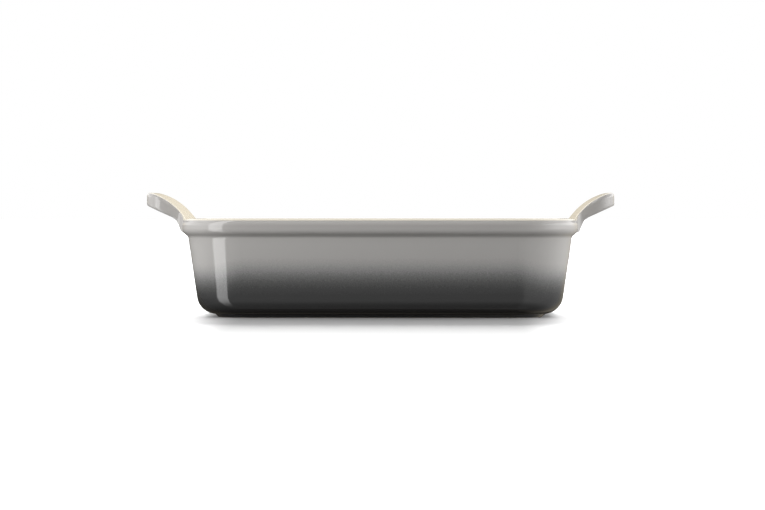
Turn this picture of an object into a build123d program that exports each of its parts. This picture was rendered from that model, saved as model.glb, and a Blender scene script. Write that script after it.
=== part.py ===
from build123d import *
import os
from math import cos, radians, sin, tan

# Deep rectangular lasagna dish in glazed stoneware, with a broad handle luted to each end.
# Origin at the middle of the base, on the surface that the dish stands on.
# +X runs from handle to handle, +Y towards the back, +Z up. Millimetres and degrees.

# Basin
rim_length = 330.0
rim_width = 240.0
rim_height = 82.0
wall_thickness = 8.0
wall_draft = 8.3
floor_thickness = 7.3
floor_corner = 7.0
base_round = 16.0
floor_round = 14.0

# Rim band, the thicker strip that runs round the top
band_height = 10.9
lip_step = 4.8
lip_angle = 50.0
lip_round = 5.0
lip_root_round = 3.5
rim_outer_round = 5.5
rim_inner_round = 3.0

# Foot ring, which stays bare clay where it stands
foot_height = 2.7
foot_setback = 13.1
foot_width = 8.0
foot_side_angle = 45.0
foot_margin = 2.8
foot_bare = 0.3

# Handles: the top is one arc that rises off the rim, the underside runs down the band, and the
# root is seated inside the band
handle_reach = 31.8
handle_width = 119.0
handle_corner = 16.5
handle_seat = 3.5
handle_start = 2.0
handle_slope = 56.6
handle_curve = 52.5
handle_tip_depth = 11.4
handle_under_angle = 24.2
handle_neck = 6.3
handle_neck_round = 10.0
handle_root_depth = 11.6
handle_root_width = 1.5
handle_root_edge = 3.0
handle_top_edge = 3.0
handle_bottom_edge = 2.0
handle_web = 7.0
web_sink = 0.3

# Glaze: its coat, how far the cream reaches down from the rim and from the handles' tops, and
# how far it reaches out past the band where a handle starts
glaze = 0.5
rim_line = 1.4
handle_line = 0.6
cream_root = 1.8

# How far a cutting or trimming solid runs past what it trims
overrun = 40.0

# Upward share of a unit normal below which a face counts as upright
upright_share = 1e-4

# Places that follow from the sizes above
draft_slope = tan(radians(wall_draft))
half_length = rim_length / 2
floor_top = foot_height + floor_thickness
lip_bottom = rim_height - band_height - lip_step / tan(radians(lip_angle))
rim_land = lip_step - (rim_height - lip_bottom) * draft_slope + wall_thickness / cos(radians(wall_draft))
base_inset = lip_step + (lip_bottom - foot_height) * draft_slope
floor_inset = rim_land + (rim_height - floor_top) * draft_slope
foot_start = base_inset + foot_setback
foot_slope = tan(radians(foot_side_angle))
foot_inset = foot_start + foot_height * foot_slope
foot_end = foot_inset + foot_width
section_end = foot_end + foot_height * foot_slope + foot_margin
rim_corner = floor_corner + section_end
seat_x = half_length - handle_seat
tip_x = half_length + handle_reach
arch_x = half_length - handle_start + handle_curve * sin(radians(handle_slope))
arch_z = rim_height - handle_curve * cos(radians(handle_slope))
tip_top = arch_z + (handle_curve**2 - (tip_x - arch_x) ** 2) ** 0.5
half_handle = handle_width / 2


def rounded(face, corners):
    """The face with each (x, y, radius) corner rounded."""
    for x, y, radius in corners:
        corner = face.vertices().sort_by_distance((x, y, 0))[0]
        face = fillet(corner, radius)
    return face


def shrunk(face, skin):
    """The face drawn in by the thickness of the glaze."""
    if skin == 0:
        return face
    return offset(face, -skin, kind=Kind.INTERSECTION)


def basin_section(skin):
    """Section of wall and floor: x runs inwards from the band's face, y is the height."""
    band_bottom = rim_height - band_height
    end = section_end + skin
    wall = make_face(
        Polyline(
            (0, rim_height),
            (0, band_bottom),
            (lip_step, lip_bottom),
            (base_inset, foot_height),
            (end, foot_height),
            (end, floor_top),
            (floor_inset, floor_top),
            (rim_land, rim_height),
            close=True,
        )
    )
    wall = rounded(
        wall,
        [
            (0, rim_height, rim_outer_round),
            (0, band_bottom, lip_round),
            (lip_step, lip_bottom, lip_root_round),
            (base_inset, foot_height, base_round),
            (floor_inset, floor_top, floor_round),
            (rim_land, rim_height, rim_inner_round),
        ],
    )
    return shrunk(wall + foot_section(skin), skin)


def foot_section(skin):
    """Section of the foot ring, which is as tall without its glaze, because its sole is bare."""
    lean = (foot_height + skin) * foot_slope
    root = foot_height + floor_thickness / 2
    inner = foot_end + foot_height * foot_slope
    return make_face(
        Polyline(
            (foot_start, foot_height),
            (foot_start + lean, -skin),
            (inner - lean, -skin),
            (inner, foot_height),
            (inner, root),
            (foot_start, root),
            close=True,
        )
    )


def basin(skin=0):
    """The basin, swept round its rim, with the flat middle of the floor put in."""
    half_width = rim_width / 2
    back_rim = FilletPolyline(
        (half_length, 0),
        (half_length, half_width),
        (-half_length, half_width),
        (-half_length, 0),
        radius=rim_corner,
    )
    front_rim = mirror(back_rim, Plane.XZ)
    rim = Wire(back_rim.edges() + front_rim.edges())
    upright = Plane(origin=(half_length, 0, 0), x_dir=(-1, 0, 0), z_dir=(0, 1, 0))
    ring = sweep(upright * basin_section(skin).face(), path=rim)
    floor = RectangleRounded(rim_length - 2 * section_end, rim_width - 2 * section_end, floor_corner)
    middle = extrude(floor, floor_thickness - 2 * skin)
    return ring + Pos(0, 0, foot_height + skin) * middle


def arch(inset):
    """Bar along Y under the handle's top surface, or under one that lies inset below it."""
    radius = handle_curve - inset
    crown = Circle(radius) + Pos(0, -overrun / 2) * Rectangle(2 * radius, overrun)
    side = Plane.XZ * Pos(arch_x, arch_z) * crown
    return extrude(side, half_handle + overrun, both=True)


def above_underside(skin):
    """Block over the handle's underside, which falls to a neck and then runs down the band."""
    neck_x = half_length + handle_neck
    far_x = tip_x + overrun
    fall = tan(radians(handle_under_angle))
    tip_bottom = tip_top - handle_tip_depth
    neck_z = tip_bottom - (tip_x - neck_x) * fall
    root_x = half_length + handle_root_width
    root_z = rim_height - handle_root_depth
    side = make_face(
        Polyline(
            (seat_x - overrun, root_z),
            (root_x, root_z),
            (neck_x, neck_z),
            (far_x, tip_bottom + (far_x - tip_x) * fall),
            (far_x, tip_top + overrun),
            (seat_x - overrun, tip_top + overrun),
            close=True,
        )
    )
    side = rounded(side, [(neck_x, neck_z, handle_neck_round), (root_x, root_z, handle_root_edge)])
    return extrude(Plane.XZ * shrunk(side, skin).face(), half_handle + overrun, both=True)


def outline_edges(solid, upwards):
    """Edges where an upright side meets the top surface, or the underside."""
    found = []
    seat = solid.bounding_box().min.X
    for edge in solid.edges():
        middle = edge @ 0.5
        sides = [face.normal_at(middle).Z for face in solid.faces() if edge in face.edges()]
        upright = [slope for slope in sides if abs(slope) < upright_share]
        leaning = [slope for slope in sides if abs(slope) >= upright_share]
        on_seat = abs(middle.X - seat) < web_sink
        if len(upright) == 1 and len(leaning) == 1 and not on_seat:
            if (leaning[0] > 0) == upwards:
                found.append(edge)
    return found


def lug(skin):
    """The handle's slab: its side view cut to its plan, with its edges rounded."""
    tip = tip_x - skin
    side_y = half_handle - skin
    plan = make_face(
        Polyline((seat_x, -side_y), (tip, -side_y), (tip, side_y), (seat_x, side_y), close=True)
    )
    corner = handle_corner - skin
    plan = rounded(plan, [(tip, -side_y, corner), (tip, side_y, corner)])
    tall = Pos(0, 0, arch_z) * extrude(plan, tip_top - arch_z + overrun)
    blank = (tall & arch(skin) & above_underside(skin)).solid()
    blank = blank.fillet(handle_top_edge - skin, outline_edges(blank, True))
    return blank.fillet(handle_bottom_edge - skin, outline_edges(blank, False))


def web(skin):
    """The hollow curve that runs from the handle's end into the band, at +Y."""
    centre_x = half_length - web_sink + handle_web
    centre_y = half_handle - web_sink + handle_web
    start_y = half_handle - handle_top_edge - handle_web
    corner = make_face(
        Polyline(
            (seat_x, start_y), (centre_x, start_y), (centre_x, centre_y), (seat_x, centre_y), close=True
        )
    )
    plan = corner - Pos(centre_x, centre_y) * Circle(handle_web + skin)
    tall = Pos(0, 0, arch_z) * extrude(plan, tip_top - arch_z + overrun)
    return (tall & arch(handle_top_edge + skin) & above_underside(skin)).solid()


def handle(skin=0):
    """The handle at +X, with its root inside the band."""
    end = web(skin)
    return lug(skin) + end + mirror(end, Plane.XZ)


def largest_along_x(solids):
    return max(solids, key=lambda solid: solid.bounding_box().size.X)


# Glazed shape and bare clay shape of each piece
glazed_handle = handle()
clay_handle = handle(glaze)
clay_basin = basin(glaze)
glazed_dish = basin() + glazed_handle + mirror(glazed_handle, Plane.YZ)
clay_dish = clay_basin + clay_handle + mirror(clay_handle, Plane.YZ)

# The handles stop at the band's face, where they are luted on
right_handle = clay_handle - clay_basin
left_handle = mirror(right_handle, Plane.YZ)

# The coat of glaze, parted into cream above and grey below
wiped_foot = Box(rim_length, rim_width, 2 * foot_bare)
coat = glazed_dish - clay_dish - wiped_foot
below_line = Box(
    2 * (tip_x + overrun),
    rim_width + overrun,
    rim_height - rim_line + overrun,
    align=(Align.CENTER, Align.CENTER, Align.MAX),
)
below_line = Pos(0, 0, rim_height - rim_line) * below_line
beside_rim = Pos(half_length + cream_root, 0, 0) * Box(
    overrun + handle_reach,
    handle_width + 2 * handle_web,
    2 * tip_top,
    align=(Align.MIN, Align.CENTER, Align.CENTER),
)
grey_handle = arch(handle_line) & beside_rim
grey_zone = below_line + grey_handle + mirror(grey_handle, Plane.YZ)
lower_coats = (coat & grey_zone).solids()
outer_glaze = largest_along_x(lower_coats)
base_glaze = min(lower_coats, key=lambda solid: solid.bounding_box().max.Z)
inside_coats = [solid for solid in lower_coats if solid is not outer_glaze and solid is not base_glaze]
inner_glaze = coat - grey_zone
for solid in inside_coats:
    inner_glaze = inner_glaze + solid

nodes = {
    "stoneware_basin": clay_basin,
    "left_handle": left_handle,
    "right_handle": right_handle,
    "inner_glaze": inner_glaze,
    "outer_glaze": outer_glaze,
    "base_glaze": base_glaze,
}

os.makedirs("parts", exist_ok=True)
for name, shape in nodes.items():
    export_step(shape, f"parts/{name}.step")
    box = shape.bounding_box()
    print(name, len(shape.solids()), "solid", round(shape.volume), "mm3", box.size)
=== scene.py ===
# %% [markdown]
# # A glazed stoneware lasagna dish
#
# The dish is one fired pot: a deep basin with a thick rim band and a broad handle luted to each
# short end. Inside it is cream, outside it is grey, and the grey was sprayed darker and darker
# towards the foot. The CAD model already holds the true shapes, down to the coat of glaze. This
# script adds the fillet of slip at the handles' roots, which CAD left as a hard corner, and then
# it is about finish: what glaze, sprayed colour and bare clay look like, and how a soft studio
# light shows them.

# %% Load the dish
import math

import bpy
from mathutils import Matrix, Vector


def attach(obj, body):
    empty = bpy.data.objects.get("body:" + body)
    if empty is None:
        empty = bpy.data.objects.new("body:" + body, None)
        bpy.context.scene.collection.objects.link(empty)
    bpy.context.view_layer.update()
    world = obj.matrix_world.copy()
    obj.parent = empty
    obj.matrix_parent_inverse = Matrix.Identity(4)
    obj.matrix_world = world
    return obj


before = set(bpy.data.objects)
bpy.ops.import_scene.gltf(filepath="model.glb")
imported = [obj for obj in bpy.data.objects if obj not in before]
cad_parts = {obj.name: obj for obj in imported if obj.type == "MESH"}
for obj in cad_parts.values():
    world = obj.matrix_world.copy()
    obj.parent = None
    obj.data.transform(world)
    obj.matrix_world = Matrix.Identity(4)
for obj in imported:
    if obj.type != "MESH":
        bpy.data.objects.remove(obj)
bpy.ops.object.select_all(action="DESELECT")
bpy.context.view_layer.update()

# %% [markdown]
# ## Colours
#
# Colours are read off a screen as sRGB numbers, but Blender adds and multiplies light in linear
# numbers. One function turns the first into the second, so every colour below can be written the
# way a paint picker shows it.

# %% Turn a hex colour into light
def srgb(code):
    """A hex colour as the four linear numbers that a shader socket takes."""
    channels = [int(code[start : start + 2], 16) / 255 for start in (0, 2, 4)]
    linear = [c / 12.92 if c <= 0.04045 else ((c + 0.055) / 1.055) ** 2.4 for c in channels]
    return (*linear, 1.0)


print("middle grey 808080 is", round(srgb("808080")[0], 3), "in linear light")

# %% [markdown]
# ## Shader nodes
#
# A material is a small network: some nodes measure where a point of the surface lies, some turn
# that into a pattern, and the last one mixes light. Every network below is written with the two
# functions here. One starts an empty material. The other adds a node, sets its options, and fills
# each of its inputs with a number, with another node's output, or with a node, which stands for
# its first output. So a line of code reads like one node with its wires.
#
# Many patterns fade from one number to another. The node for ranges does that: it takes a value
# between From Min and From Max to one between To Min and To Max, smoothly with the option below.
# Where To Min or To Max isn't given, it is 0 or 1. A value whose name ends in FADE holds the two
# ends between which something fades.

# %% Two functions for shader networks
SMOOTH = {"interpolation_type": "SMOOTHSTEP"}


def new_material(name):
    """An empty material and the tree that its nodes go in."""
    material = bpy.data.materials.new(name)
    material.use_nodes = True
    material.node_tree.nodes.clear()
    return material, material.node_tree


def add_node(tree, kind, inputs=None, **options):
    """Add a node, set its options, and fill each named input with a value, a link or a node."""
    node = tree.nodes.new("ShaderNode" + kind)
    for option, value in options.items():
        setattr(node, option, value)
    for socket, value in (inputs or {}).items():
        if isinstance(value, bpy.types.Node):
            value = value.outputs[0]
        if isinstance(value, bpy.types.NodeSocket):
            tree.links.new(value, node.inputs[socket])
        else:
            node.inputs[socket].default_value = value
    return node


print("functions: new_material, add_node")

# %% [markdown]
# ## Camera
#
# The photograph was taken from the long side with a long lens, from just above the rim: the far
# side of each handle shows as a thin strip behind the near side, and the two ends look almost the
# same size. The lens, place and tilt below are the ones at which the dish's outline falls on the
# photograph's outline. The view transform is plain Standard, so a colour shows as it is written.

# %% Set the camera
IMAGE_WIDTH = 765
FOCAL_PIXELS = 3391
SENSOR = 36.0
NEAREST_SEEN = 0.01
CAMERA_PLACE = Vector((0.0401, -2.9, 0.0885))
AIM_X = 0.00117
TILT = math.radians(0.745)

camera_data = bpy.data.cameras.new("camera")
camera_data.sensor_width = SENSOR
camera_data.lens = FOCAL_PIXELS * SENSOR / IMAGE_WIDTH
camera_data.clip_start = NEAREST_SEEN
camera = bpy.data.objects.new("camera", camera_data)
bpy.context.scene.collection.objects.link(camera)
camera.location = CAMERA_PLACE
turn = math.atan((CAMERA_PLACE.x - AIM_X) / -CAMERA_PLACE.y)
camera.rotation_euler = (math.pi / 2 - TILT, 0, turn)
bpy.context.scene.camera = camera
bpy.context.scene.view_settings.view_transform = "Standard"
print("lens, mm:", round(camera_data.lens, 1))

# %% [markdown]
# ## The light tent
#
# A glazed pot is a mirror as well as a painted surface, so it is photographed inside a tent of
# white cloth that is lit from outside. The world stands in for the tent, and its brightness
# depends only on the direction looked in. Two measures of the direction are enough: its height,
# which is the sine of its angle above the horizon, and its heading, an arrow of length one on the
# ground, whose X points right and whose Y points away from the camera.

# %% Measure the direction
world = bpy.data.worlds.new("light_tent")
bpy.context.scene.world = world
world.use_nodes = True
tree = world.node_tree
tree.nodes.clear()
direction = add_node(tree, "TexCoord").outputs["Generated"]
height = add_node(tree, "SeparateXYZ", {"Vector": direction}).outputs["Z"]
laid_flat = add_node(tree, "VectorMath", {0: direction, 1: (1, 1, 0)}, operation="MULTIPLY")
bearing = add_node(tree, "VectorMath", {0: laid_flat}, operation="NORMALIZE")
heading = add_node(tree, "SeparateXYZ", {"Vector": bearing}).outputs
print("direction nodes:", len(tree.nodes))

# %% [markdown]
# ## The cloth
#
# Bright cloth hangs at both sides and behind. In front the cloth starts above the camera, so the
# long wall that faces the camera is in the tent's shade, and the roof is dim. On this scale plain
# white paper has a brightness of 1.

# %% Hang the cloth
TENT = 1.5
FRONT_LOW = 0.05
FRONT_HIGH = 0.28
ROOF = 0.2
FRONT_FADE = {"From Min": -0.85, "From Max": -0.2}
FRONT_TOP_FADE = {"From Min": 0.5, "From Max": 0.62}
ROOF_FADE = {"From Min": 0.8, "From Max": 0.9}

limits = {"Value": heading["Y"], "To Min": FRONT_LOW}
around = add_node(tree, "MapRange", limits | FRONT_FADE, **SMOOTH)
limits = {"Value": height, "To Max": FRONT_HIGH}
overhead = add_node(tree, "MapRange", limits | FRONT_TOP_FADE, **SMOOTH)
share = add_node(tree, "Math", {0: around, 1: overhead}, operation="MAXIMUM")
limits = {"Value": height, "To Min": TENT, "To Max": ROOF}
brightness = add_node(tree, "MapRange", limits | ROOF_FADE, **SMOOTH)
cloth = add_node(tree, "Math", {0: share, 1: brightness}, operation="MULTIPLY")
print("with the cloth:", len(tree.nodes))

# %% [markdown]
# ## The two sides
#
# Low down, the lamps outside the tent shine on both sides, and most on the right one. The extra
# light goes with the square of the heading's X, which is 1 straight to a side and 0 in front and
# behind.

# %% Brighten the sides
LEFT_SIDE = 0.65
RIGHT_SIDE = 2.5
LEFT_TO_RIGHT_FADE = {"From Min": -0.5, "From Max": 0.5}
SIDE_TOP_FADE = {"From Min": 0.55, "From Max": 0.35}

aside = add_node(tree, "Math", {0: heading["X"], 1: 2}, operation="POWER")
limits = {"Value": heading["X"], "To Min": LEFT_SIDE, "To Max": RIGHT_SIDE}
side_light = add_node(tree, "MapRange", limits | LEFT_TO_RIGHT_FADE, **SMOOTH)
extra = add_node(tree, "Math", {0: aside, 1: side_light}, operation="MULTIPLY")
low_down = add_node(tree, "MapRange", {"Value": height} | SIDE_TOP_FADE, **SMOOTH)
extra = add_node(tree, "Math", {0: extra, 1: low_down}, operation="MULTIPLY")
cloth = add_node(tree, "Math", {0: cloth, 1: extra}, operation="ADD")
print("with the sides:", len(tree.nodes))

# %% [markdown]
# ## The strip behind
#
# The strip of cloth just above the table at the back is dimmer. It is what the glossy tops of the
# handles mirror towards the camera, so it sets how pale they look.

# %% Dim the strip behind
LOW_BACK = 0.52
BACK_FADE = {"From Min": 0.5, "From Max": 0.9}
STRIP_TOP_FADE = {"From Min": 0.3, "From Max": 0.08}

behind = add_node(tree, "MapRange", {"Value": heading["Y"]} | BACK_FADE, **SMOOTH)
near_table = add_node(tree, "MapRange", {"Value": height} | STRIP_TOP_FADE, **SMOOTH)
low_back = add_node(tree, "Math", {0: behind, 1: near_table}, operation="MULTIPLY")
limits = {"Value": low_back, "To Min": 1, "To Max": LOW_BACK}
dimmer = add_node(tree, "MapRange", limits, **SMOOTH)
cloth = add_node(tree, "Math", {0: cloth, 1: dimmer}, operation="MULTIPLY")
print("with the strip behind:", len(tree.nodes))

# %% [markdown]
# ## The table in the mirror
#
# Below the horizon only mirror images look, since the table itself is left out of them. What they
# see there is painted here: a mid grey table in front of the dish, the dark gap under the base at
# the back, a paler sheet at the right and the dish's own shade straight below.

# %% Paint the mirrored table
TABLE_IN_FRONT = 0.6
TABLE_BEHIND = 0.06
TABLE_RIGHT = 0.4
OWN_SHADE = 0.3
FRONT_TO_BACK_FADE = {"From Min": -1, "From Max": 1}
SHEET_FADE = {"From Min": 0.18, "From Max": 0.36}
OWN_SHADE_FADE = {"From Min": -0.95, "From Max": -0.5}

limits = {"Value": heading["Y"], "To Min": TABLE_IN_FRONT, "To Max": TABLE_BEHIND}
ground = add_node(tree, "MapRange", limits | FRONT_TO_BACK_FADE, **SMOOTH)
limits = {"Value": heading["X"], "To Max": TABLE_RIGHT}
sheet = add_node(tree, "MapRange", limits | SHEET_FADE, **SMOOTH)
ground = add_node(tree, "Math", {0: ground, 1: sheet}, operation="ADD")
limits = {"Value": height, "To Min": OWN_SHADE}
own_shade = add_node(tree, "MapRange", limits | OWN_SHADE_FADE, **SMOOTH)
ground = add_node(tree, "Math", {0: ground, 1: own_shade}, operation="MULTIPLY")
print("with the table:", len(tree.nodes))

# %% [markdown]
# ## The skyline
#
# Going up, the table gives way to the cloth. A table's edge is seen below the horizon, and the
# nearer it is, the further below. This table ends nearer in front of the dish than behind it, so
# the skyline is lower there.

# %% Join table and cloth
SKYLINE_IN_FRONT = -0.25
SKYLINE_BEHIND = -0.05
SKYLINE_FADE = {"From Min": -0.5, "From Max": 0.5}
ALL_CLOTH = 0.08

limits = {"Value": heading["Y"], "To Min": SKYLINE_IN_FRONT, "To Max": SKYLINE_BEHIND}
skyline = add_node(tree, "MapRange", limits | SKYLINE_FADE, **SMOOTH)
limits = {"Value": height, "From Min": skyline, "From Max": ALL_CLOTH}
above = add_node(tree, "MapRange", limits, **SMOOTH)
tent = add_node(tree, "Mix", {"Factor": above, "A": ground, "B": cloth}, data_type="FLOAT")
print("with the skyline:", len(tree.nodes))

# %% [markdown]
# ## The window
#
# One tall softbox stands at the left. Its mirror image is the bright upright stripe near the left
# end of the wall, on the band and on the handle's side, which shows how glossy the glaze is. It
# is a range of headings, measured as the dot product with the heading of its middle, and it gets
# fainter towards the floor. It is only there for mirror images, so that it lights nothing.

# %% Stand the window at the left
WINDOW = 4.4
WINDOW_HEADING = math.radians(-51)
WINDOW_HALF = math.radians(14.7)
WINDOW_EDGE = 0.004
WINDOW_FOOT_FADE = {"From Min": -1.0, "From Max": -0.28}
WINDOW_TOP_FADE = {"From Min": 1.0, "From Max": 0.9}

facing = (math.sin(WINDOW_HEADING), -math.cos(WINDOW_HEADING), 0)
towards = add_node(tree, "VectorMath", {0: bearing, 1: facing}, operation="DOT_PRODUCT")
edge = math.cos(WINDOW_HALF)
limits = {"From Min": edge - WINDOW_EDGE, "From Max": edge + WINDOW_EDGE, "To Max": WINDOW}
window = add_node(tree, "MapRange", {"Value": towards.outputs["Value"]} | limits, **SMOOTH)
for fade in (WINDOW_FOOT_FADE, WINDOW_TOP_FADE):
    end = add_node(tree, "MapRange", {"Value": height} | fade, **SMOOTH)
    window = add_node(tree, "Math", {0: window, 1: end}, operation="MULTIPLY")
path = add_node(tree, "LightPath").outputs
window = add_node(tree, "Math", {0: window, 1: path["Is Glossy Ray"]}, operation="MULTIPLY")
print("with the window:", len(tree.nodes))

# %% [markdown]
# ## What the world gives
#
# The tent and the window are added up. The camera itself sees plain white, as in the photograph.
# Mirror images of the low back see it slightly warm, because a cream surface in the tent warms
# the cloth near it, and that keeps the handles' tops as cream as in the photograph.

# %% Light the world
PAPER_WHITE = 1.0
WHITE = "ffffff"
WARM = "fff4de"

glow = add_node(tree, "Math", {0: tent, 1: window}, operation="ADD")
seen = {"Factor": path["Is Camera Ray"], "A": glow, "B": PAPER_WHITE}
strength = add_node(tree, "Mix", seen, data_type="FLOAT")
warm = add_node(tree, "Math", {0: low_back, 1: path["Is Glossy Ray"]}, operation="MULTIPLY")
tints = {"Factor": warm, "A": srgb(WHITE), "B": srgb(WARM)}
tint = add_node(tree, "Mix", tints, data_type="RGBA").outputs["Result"]
background = add_node(tree, "Background", {"Color": tint, "Strength": strength})
add_node(tree, "OutputWorld", {"Surface": background})
print("whole world:", len(tree.nodes))

# %% [markdown]
# ## The table's paint and its painted shadow
#
# The table is white and far wider than the picture. For the camera it is painted grey in a strip in
# front of the dish, a painted shadow that makes the lamp's shadow as deep as it needs to be. It is
# painted paler to both sides, and a little paler nearer by, where that shadow fades. The dish gets
# less back from the table than that, so its underside stays dark. Mirror images don't see the table
# at all: they see the one that is painted in the world.

# %% Paint the table
TABLE_FOR_CAMERA = 0.39
TABLE_NEAR = 0.45
TABLE_ASIDE = 0.85
TABLE_FOR_DISH = 0.15
NEAR_FADE = {"From Min": -0.3, "From Max": -0.55}
PAINTED_SHADOW_SIDE_FADE = {"From Min": 0.108, "From Max": 0.158}

table_with_painted_shadow, tree = new_material("table_with_painted_shadow")
place = add_node(tree, "TexCoord").outputs["Object"]
axes = add_node(tree, "SeparateXYZ", {"Vector": place}).outputs
# Painted shadow: grey in a strip in front of the dish, paler to both sides and a little paler
# nearer by.
limits = {"Value": axes["Y"], "To Min": TABLE_FOR_CAMERA, "To Max": TABLE_NEAR}
middle = add_node(tree, "MapRange", limits | NEAR_FADE, **SMOOTH)
from_middle = add_node(tree, "Math", {0: axes["X"]}, operation="ABSOLUTE")
limits = {"Value": from_middle, "To Min": middle, "To Max": TABLE_ASIDE}
painted_shadow = add_node(tree, "MapRange", limits | PAINTED_SHADOW_SIDE_FADE, **SMOOTH)
path = add_node(tree, "LightPath").outputs
limits = {"Value": path["Is Camera Ray"], "To Min": TABLE_FOR_DISH, "To Max": painted_shadow}
shade = add_node(tree, "MapRange", limits)
paint = add_node(tree, "BsdfDiffuse", {"Color": shade})
add_node(tree, "OutputMaterial", {"Surface": paint})
print("table paint:", len(tree.nodes), "nodes")

# %% [markdown]
# ## The table itself
#
# One flat square is enough, so large that its edge is lost in the white.

# %% Lay the table
TABLE_SIZE = 60

bpy.ops.mesh.primitive_plane_add(size=TABLE_SIZE, location=(0, 0, 0))
floor = bpy.context.object
floor.name = "table"
floor.data.materials.append(table_with_painted_shadow)
floor.visible_glossy = False
bpy.ops.object.select_all(action="DESELECT")
print("table:", floor.dimensions[0], "m wide")

# %% [markdown]
# ## A lamp for the shadow
#
# A low, broad light behind the dish draws its soft shadow on the table towards the camera. It is
# linked to the table only, so it can be as strong as the shadow needs without washing out the
# dish.

# %% Set the shadow lamp
SHADOW_LAMP_HEIGHT = math.radians(17)
SHADOW_LAMP_SPREAD = math.radians(30)
SHADOW_LAMP_POWER = 16

shadow_lamp = bpy.data.lights.new("shadow_lamp", "SUN")
shadow_lamp.energy = SHADOW_LAMP_POWER
shadow_lamp.angle = SHADOW_LAMP_SPREAD
shadow_holder = bpy.data.objects.new("shadow_lamp", shadow_lamp)
bpy.context.scene.collection.objects.link(shadow_holder)
shadow_holder.rotation_euler = (-(math.pi / 2 - SHADOW_LAMP_HEIGHT), 0, 0)
table_only = bpy.data.collections.new("lit_by_shadow_lamp")
table_only.objects.link(floor)
shadow_holder.light_linking.receiver_collection = table_only

# %% [markdown]
# ## The key light
#
# The key light stands close at the left, so the left handle and the left end of the wall are the
# brightest parts of the dish. Mirror images leave it out, because the window already stands for
# its reflection.

# %% Set the key light
KEY_PLACE = Vector((-0.6, -0.5, 0.25))
KEY_SIZE = 0.3
KEY_POWER = 1.6

key = bpy.data.lights.new("left_key", "AREA")
key.size = KEY_SIZE
key.energy = KEY_POWER
key_holder = bpy.data.objects.new("left_key", key)
bpy.context.scene.collection.objects.link(key_holder)
key_holder.location = KEY_PLACE
key_holder.rotation_euler = (-KEY_PLACE).to_track_quat("-Z", "Y").to_euler()
key_holder.visible_camera = False
key_holder.visible_glossy = False
print("lamps:", [thing.name for thing in bpy.data.lights])

# %% [markdown]
# ## Glaze
#
# A glaze is coloured glass on clay. Light that enters it comes back with its colour, and the
# rest is mirrored at the surface, so one Principled shader with the refraction of glass does both.
# Its surface isn't quite flat: it flowed while it was molten. A slow noise for that bends the
# mirror images a little, and a finer one varies how sharp they are. Noise is mostly near its
# middle, so the fade takes only that part of its range.

# %% A glossy coat
GLASS_IOR = 1.5
WAVE_SIZE = 0.012
WAVE_DEPTH = 0.00002
SHEEN_SIZE = 0.004
GLOSSY = (0.05, 0.11)
NOISE_FADE = {"From Min": 0.3, "From Max": 0.7}


def glaze_coat(name, roughness=GLOSSY):
    """A glossy glaze without its colour: the material, its tree, its place node and its shader."""
    material, tree = new_material(name)
    place = add_node(tree, "TexCoord").outputs["Object"]
    wave = add_node(tree, "TexNoise", {"Vector": place, "Scale": 1 / WAVE_SIZE, "Detail": 1.0})
    sheen = add_node(tree, "TexNoise", {"Vector": place, "Scale": 1 / SHEEN_SIZE, "Detail": 3.0})
    limits = {"Value": sheen, "To Min": roughness[0], "To Max": roughness[1]}
    rough = add_node(tree, "MapRange", limits | NOISE_FADE, **SMOOTH)
    bump = add_node(tree, "Bump", {"Height": wave, "Distance": WAVE_DEPTH, "Strength": 1.0})
    surface = {"Roughness": rough, "IOR": GLASS_IOR, "Normal": bump}
    shader = add_node(tree, "BsdfPrincipled", surface)
    add_node(tree, "OutputMaterial", {"Surface": shader})
    return material, tree, place, shader


print("glaze waves:", WAVE_SIZE, "m wide,", WAVE_DEPTH, "m deep")

# %% [markdown]
# ## The cream inside
#
# The inside, the rim and the handles' tops are a warm cream. It pools a little thicker and darker
# in some places than in others, so it is clouded: a slow noise mixes two creams.

# %% Cream glaze
CREAM_THICK = "e2dac7"
CREAM_THIN = "eae2d0"
CREAM_CLOUDS = 30.0  # per metre, so a cloud is about 33 mm wide


def cream_colour(tree, place):
    """The cream, slightly clouded."""
    cloud = add_node(tree, "TexNoise", {"Vector": place, "Scale": CREAM_CLOUDS, "Detail": 3.0})
    creams = {"Factor": cloud, "A": srgb(CREAM_THICK), "B": srgb(CREAM_THIN)}
    return add_node(tree, "Mix", creams, data_type="RGBA").outputs["Result"]


print("cream:", CREAM_THICK, "to", CREAM_THIN)

# %% [markdown]
# ## The sprayed grey
#
# The potter sprayed a black glaze from below over a pale grey one. Height sets how much black a
# point got, so the colour is a ramp along Z. Below about 19 mm, where the base rounds under into
# shade, the ramp turns paler again towards the foot: that part is painted light, not spray. It is
# listed here from the foot up, as shares of the height at which the ramp ends.

# %% Colours from foot to rim
SPRAY_TOP = 0.1
# The four lowest colours grow paler towards the foot: painted light on the base's shaded underside.
SPRAY_AND_PAINTED_LIGHT = [
    (0.0, "525252"),
    (0.06, "454444"),
    (0.12, "3a3a3a"),
    (0.19, "363636"),
    (0.25, "454545"),
    (0.30, "5d5d5c"),
    (0.35, "7c7c7b"),
    (0.40, "9d9c9b"),
    (0.45, "b5b3b1"),
    (0.50, "c2c0bd"),
    (0.60, "c4c2bf"),
    (0.80, "c0bdba"),
]
print("spray:", len(SPRAY_AND_PAINTED_LIGHT), "colours over", SPRAY_TOP, "m")

# %% [markdown]
# ## The droplets
#
# The droplets are the trick: noise shifts the height before the ramp reads it, so the grain is
# strongest where the colour changes fastest and vanishes where it is even, as with real spray.
# Real droplets are two or three tenths of a millimetre wide, which is too fine to show, so they are
# drawn 0.8 mm wide, about as wide as a pixel. Towards the short ends the ramp reads the height a
# few millimetres higher, so the dark starts lower there.

# %% Grey glaze
DROPLET = 0.0008
GRAIN = 0.0038
END_DROP = 0.0051
END_FADE = {"From Min": 0.111, "From Max": 0.140}


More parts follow.
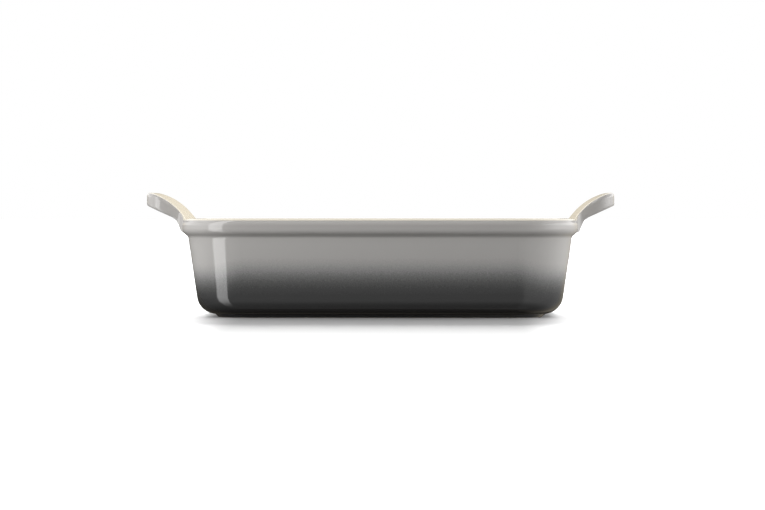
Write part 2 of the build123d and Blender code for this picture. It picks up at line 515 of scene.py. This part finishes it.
def sprayed_colour_and_painted_light(tree, place):
    """The grey, darker towards the foot and painted paler on the base's shaded round, with grain.
    """
    axes = add_node(tree, "SeparateXYZ", {"Vector": place}).outputs
    from_middle = add_node(tree, "Math", {0: axes["X"]}, operation="ABSOLUTE")
    limits = {"Value": from_middle, "To Max": END_DROP}
    drop = add_node(tree, "MapRange", limits | END_FADE, **SMOOTH)
    mist = add_node(tree, "TexNoise", {"Vector": place, "Scale": 1 / DROPLET, "Detail": 1.0})
    scatter = add_node(tree, "MapRange", {"Value": mist, "To Min": -GRAIN, "To Max": GRAIN})
    shift = add_node(tree, "Math", {0: drop, 1: scatter}, operation="ADD")
    height = add_node(tree, "Math", {0: axes["Z"], 1: shift}, operation="ADD")
    share = add_node(tree, "MapRange", {"Value": height, "From Max": SPRAY_TOP})
    ramp = add_node(tree, "ValToRGB", {"Fac": share})
    elements = ramp.color_ramp.elements
    while len(elements) < len(SPRAY_AND_PAINTED_LIGHT):
        elements.new(1.0)
    for element, (where, code) in zip(elements, SPRAY_AND_PAINTED_LIGHT):
        element.position = where
        element.color = srgb(code)
    return ramp.outputs[0]


grey, tree, place, shader = glaze_coat("sprayed_grey_glaze")
tree.links.new(sprayed_colour_and_painted_light(tree, place), shader.inputs["Base Color"])
print("grey glaze:", len(tree.nodes), "nodes")

# %% [markdown]
# ## The dark base
#
# Under the base, inside the foot ring, the spray is at its darkest. Nothing lights it from below,
# so it only has to be a near-black glaze, a little duller than the wall's, and slightly clouded.

# %% Dark glaze
DULLER = (0.08, 0.16)
DARK_THICK = "262626"
DARK_THIN = "343434"
DARK_CLOUDS = 60.0  # per metre, so a cloud is about 17 mm wide

dark, tree, place, shader = glaze_coat("dark_glaze", roughness=DULLER)
cloud = add_node(tree, "TexNoise", {"Vector": place, "Scale": DARK_CLOUDS, "Detail": 3.0})
darks = {"Factor": cloud, "A": srgb(DARK_THICK), "B": srgb(DARK_THIN)}
tone = add_node(tree, "Mix", darks, data_type="RGBA").outputs["Result"]
tree.links.new(tone, shader.inputs["Base Color"])
print("dark glaze:", len(tree.nodes), "nodes")

# %% [markdown]
# ## Bare clay
#
# The foot ring is wiped before the firing, or the glaze would weld the pot to the kiln shelf. What
# shows there is the fired clay itself: matt, sandy, and speckled with coarser grains. The sand is
# really finer than half a millimetre and is drawn a little coarser, so that it shows up close.

# %% Clay
SAND_SIZE = 0.0006
SAND_HEIGHT = 0.0001
CLAY_DARK = "9c8c76"
CLAY_PALE = "c0b096"
MATT = (0.75, 0.9)
SPECK_FADE = {"From Min": 0.35, "From Max": 0.65}

clay, tree = new_material("bare_stoneware")
place = add_node(tree, "TexCoord").outputs["Object"]
sand = add_node(tree, "TexNoise", {"Vector": place, "Scale": 1 / SAND_SIZE, "Detail": 2.0})
speck = add_node(tree, "MapRange", {"Value": sand} | SPECK_FADE, **SMOOTH)
clays = {"Factor": speck, "A": srgb(CLAY_DARK), "B": srgb(CLAY_PALE)}
tone = add_node(tree, "Mix", clays, data_type="RGBA").outputs["Result"]
limits = {"Value": sand, "To Min": MATT[0], "To Max": MATT[1]}
rough = add_node(tree, "MapRange", limits | NOISE_FADE, **SMOOTH)
relief = add_node(tree, "Bump", {"Height": sand, "Distance": SAND_HEIGHT, "Strength": 1.0})
body = {"Base Color": tone, "Roughness": rough, "Normal": relief}
shader = add_node(tree, "BsdfPrincipled", body)
add_node(tree, "OutputMaterial", {"Surface": shader})
print("clay:", len(tree.nodes), "nodes")

# %% [markdown]
# ## Slip in the corners
#
# A potter presses the handle onto the band, fills the corner between them with slip, and wipes it
# round with a wet finger. The same happens here. Two simple solids stand for the joint: a slab of
# the band and a slab of the handle's root, which widens where it lands. Each is a strip of cells
# from top to underside, pulled out sideways. A voxel remesh welds them into one skin, and
# smoothing does the finger's work: the hollow corner fills up, and the outer edges sink a little
# below the CAD surfaces, where they can't be seen.
#
# First come the two profiles. Each is a list of columns, with their place along X, their lower
# and upper end and half their width. They repeat the CAD model's sizes, in metres. An arc gets
# its columns at equal angles, so they stand closer together where it is steep.

# %% Columns of the band
BAND_FACE = 0.165
RIM_TOP = 0.082
SHOULDER = 0.0055
BAND_ROOT = 0.157
BAND_CUT = 0.0688
BAND_HALF = 0.070
LIP_CENTRE = (0.160, 0.07343)
LIP_ROUND = 0.005
LIP_BREAK = (0.1632, 0.0696)
LIP_SLOPE = 4.03 / 4.8  # fall over run
ARC_ANGLES = range(0, 91, 9)


def lip(x):
    """Height of the band's lower edge: level, then sloping, then round."""
    if x < LIP_BREAK[0]:
        return max(BAND_CUT, LIP_BREAK[1] - (LIP_BREAK[0] - x) * LIP_SLOPE)
    return LIP_CENTRE[1] - math.sqrt(max(LIP_ROUND**2 - (x - LIP_CENTRE[0]) ** 2, 0))


def rim(x):
    """Height of the band's top, rounded to its face."""
    run = max(x - (BAND_FACE - SHOULDER), 0)
    return RIM_TOP - SHOULDER + math.sqrt(max(SHOULDER**2 - run**2, 0))


steps = [math.sin(math.radians(angle)) for angle in ARC_ANGLES]
band_x = [BAND_ROOT] + [BAND_FACE - SHOULDER + SHOULDER * step for step in steps]
band_columns = [(x, lip(x), rim(x), BAND_HALF) for x in band_x]
print("band columns:", len(band_columns))

# %% [markdown]
# ## The handle's root
#
# The handle's top is one arc. Its underside runs down the band in a hollow curve, which is listed
# as points. Its width grows along a small arc where it lands on the band.

# %% Columns of the handle's root
ARCH_CENTRE = (0.20683, 0.0531)
ARCH_ROUND = 0.0525
HANDLE_HALF = 0.0595
FLARE_CENTRE = (0.1717, 0.0662)
FLARE_ROUND = 0.007
INSIDE_BAND = [0.158, 0.161, 0.163]
HANDLE_CUT = 0.178
COLUMN_GAP = 0.0007
PLAIN_COLUMNS = 10
UNDERSIDE = [
    (0.158, 0.0704),
    (0.1648, 0.0704),
    (0.1663, 0.0710),
    (0.1672, 0.0721),
    (0.1698, 0.0782),
    (0.1718, 0.08125),
    (0.1749, 0.0834),
    (0.1803, 0.0858),
]


def arch_top(x):
    """Height of the handle's top surface."""
    return ARCH_CENTRE[1] + math.sqrt(ARCH_ROUND**2 - (x - ARCH_CENTRE[0]) ** 2)


def underside(x):
    """Height of the handle's underside, straight between the points listed above."""
    for (x0, z0), (x1, z1) in zip(UNDERSIDE, UNDERSIDE[1:]):
        if x <= x1:
            return z0 + (z1 - z0) * (x - x0) / (x1 - x0)
    return UNDERSIDE[-1][1]


def half_width(x):
    """Half the handle's width, which grows along an arc where it lands on the band."""
    run = min(max(FLARE_CENTRE[0] - x, 0), FLARE_ROUND)
    return max(HANDLE_HALF, FLARE_CENTRE[1] - math.sqrt(FLARE_ROUND**2 - run**2))


flare_x = [FLARE_CENTRE[0] - FLARE_ROUND * step for step in reversed(steps)]
plain_x = [HANDLE_CUT - COLUMN_GAP * i for i in reversed(range(PLAIN_COLUMNS))]
handle_x = INSIDE_BAND + flare_x + plain_x
handle_columns = [(x, underside(x), arch_top(x), half_width(x)) for x in handle_x]
print("handle columns:", len(handle_columns))

# %% [markdown]
# ## Where cream meets grey
#
# The line between the two glazes follows the handle's top edge, a little under the arch, then
# curves down in the corner where the handle leaves the band, and runs on along the band. So each
# point is asked three things: whether it is under the band's line, which rises out of the way
# past the corner, whether it is under the arch, and whether it lies past the start of the corner.
# The answers are shares, which go from 0 to 1 within a quarter of a millimetre.

# %% Measure where the grey is
LINE_DEPTH = 0.0006
ARCH_LINE = ARCH_ROUND - LINE_DEPTH
BAND_LINE = 0.0806
CORNER_TOP = 0.110
CORNER_START = 0.1640
CORNER_END = 0.1715
SOFT = 0.00012


def grey_shares(tree, place):
    """Shares from 0 to 1: under the band's line, under both lines, past the corner's start."""
    axes = add_node(tree, "SeparateXYZ", {"Vector": place}).outputs
    out = add_node(tree, "Math", {0: axes["X"]}, operation="ABSOLUTE")
    limits = {"Value": out, "From Min": CORNER_START, "From Max": CORNER_END}
    heights = {"To Min": BAND_LINE, "To Max": CORNER_TOP}
    line = add_node(tree, "MapRange", limits | heights, **SMOOTH)
    over = add_node(tree, "Math", {0: axes["Z"], 1: line}, operation="SUBTRACT")
    side_view = add_node(tree, "CombineXYZ", {"X": out, "Z": axes["Z"]})
    centre = (ARCH_CENTRE[0], 0, ARCH_CENTRE[1])
    reach = add_node(tree, "VectorMath", {0: side_view, 1: centre}, operation="DISTANCE")
    shares = []
    for measure, none, full in (
        (over, SOFT, -SOFT),
        (reach.outputs["Value"], ARCH_LINE + SOFT, ARCH_LINE - SOFT),
        (out, CORNER_START, CORNER_START + SOFT),
    ):
        limits = {"Value": measure, "From Min": none, "From Max": full}
        shares.append(add_node(tree, "MapRange", limits, **SMOOTH))
    under_line, under_arch, outside = shares
    under_both = add_node(tree, "Math", {0: under_line, 1: under_arch}, operation="MULTIPLY")
    return under_line, under_both, outside


def colour_coat(tree, place, shader, share):
    """Give a coat cream where the share is 0 and grey where it is 1."""
    tones = {"Factor": share, "A": cream_colour(tree, place), "B": sprayed_colour_and_painted_light(tree, place)}
    tone = add_node(tree, "Mix", tones, data_type="RGBA").outputs["Result"]
    tree.links.new(tone, shader.inputs["Base Color"])


print("line on the band at", BAND_LINE, "m, corner from", CORNER_START, "to", CORNER_END, "m")

# %% [markdown]
# ## Glaze on the joint
#
# The slip in the corners has both colours. Before the corner only the band's line counts, because
# the arch runs down into the band there. Past its start both lines do.

# %% Joint glaze
joint_glaze, tree, place, shader = glaze_coat("joint_glaze")
under_line, under_both, outside = grey_shares(tree, place)
zones = {"Factor": outside, "A": under_line, "B": under_both}
share = add_node(tree, "Mix", zones, data_type="FLOAT")
colour_coat(tree, place, shader, share)
print("joint glaze:", len(tree.nodes), "nodes")

# %% [markdown]
# ## Glaze on the cream coat
#
# The cream coat has the grey too, because a nose of it reaches out past the corner, and what lies
# under the lines there is grey. Inside the dish everything stays cream.

# %% Cream coat
cream, tree, place, shader = glaze_coat("cream_glaze")
_, under_both, outside = grey_shares(tree, place)
share = add_node(tree, "Math", {0: under_both, 1: outside}, operation="MULTIPLY")
colour_coat(tree, place, shader, share)
print("cream glaze:", len(tree.nodes), "nodes")

# %% [markdown]
# ## Model a slab
#
# Each slab starts as a grid of one row, whose points are moved onto the columns at one side. It
# is extruded across by far more than its width, and the far side is then brought back to the same
# distance from the middle.

# %% Make a slab from columns
PULL = 1


def slab(columns, side):
    """A closed solid from (x, low, high, half width) columns, on the +1 or -1 side in x."""
    count = len(columns)
    bpy.ops.mesh.primitive_grid_add(x_subdivisions=count - 1, y_subdivisions=1)
    piece = bpy.context.object
    for index, vertex in enumerate(piece.data.vertices):
        x, low, high, half = columns[index % count]
        vertex.co = (side * x, -half, high if index >= count else low)
    bpy.ops.object.mode_set(mode="EDIT")
    bpy.ops.mesh.select_all(action="SELECT")
    bpy.ops.mesh.extrude_region_move(TRANSFORM_OT_translate={"value": (0, PULL, 0)})
    bpy.ops.object.mode_set(mode="OBJECT")
    for vertex in piece.data.vertices:
        if vertex.co.y > PULL / 2:
            vertex.co.y = PULL - vertex.co.y
    bpy.ops.object.mode_set(mode="EDIT")
    bpy.ops.mesh.select_all(action="SELECT")
    bpy.ops.mesh.normals_make_consistent(inside=False)
    bpy.ops.object.mode_set(mode="OBJECT")
    return piece


print("function: slab")

# %% [markdown]
# ## Weld and wipe the joints
#
# The two slabs of a joint are made one object, welded by the remesh and wiped by smoothing. A small
# shrink at the end keeps the skin just under the CAD surfaces wherever it isn't a filled corner.
# The fillets ride on the dish and wear the joint glaze, cream above the line and grey below it.

# %% Make the two fillets
VOXEL = 0.0006
WIPES = 40
WIPE_STRENGTH = 0.5
SINK = 0.00008


def add_modifier(piece, kind, **settings):
    """Add a modifier and apply it."""
    modifier = piece.modifiers.new(kind.lower(), kind)
    for name, value in settings.items():
        setattr(modifier, name, value)
    bpy.ops.object.modifier_apply(modifier=modifier.name)


for name, side in (("left", -1), ("right", 1)):
    handle_slab = slab(handle_columns, side)
    slab(band_columns, side)
    handle_slab.select_set(True)
    bpy.ops.object.join()
    fillet = bpy.context.object
    fillet.name = name + "_handle_fillet"
    add_modifier(fillet, "REMESH", mode="VOXEL", voxel_size=VOXEL)
    add_modifier(fillet, "SMOOTH", factor=WIPE_STRENGTH, iterations=WIPES)
    add_modifier(fillet, "DISPLACE", strength=-SINK, mid_level=0.0)
    bpy.ops.object.shade_smooth()
    fillet.data.materials.clear()
    fillet.data.materials.append(joint_glaze)
    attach(fillet, "root")
    fillet.select_set(False)
    print(fillet.name, len(fillet.data.polygons), "faces", [round(d, 4) for d in fillet.dimensions])

# %% [markdown]
# ## Give each piece its finish
#
# Each CAD piece came in with one material slot. Filling that slot leaves its mesh alone.

# %% Dress the pieces
finishes = {
    "stoneware_basin": clay,
    "left_handle": clay,
    "right_handle": clay,
    "inner_glaze": cream,
    "outer_glaze": grey,
    "base_glaze": dark,
}
for node, material in finishes.items():
    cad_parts[node].material_slots[0].material = material
    print(node, "is", material.name)
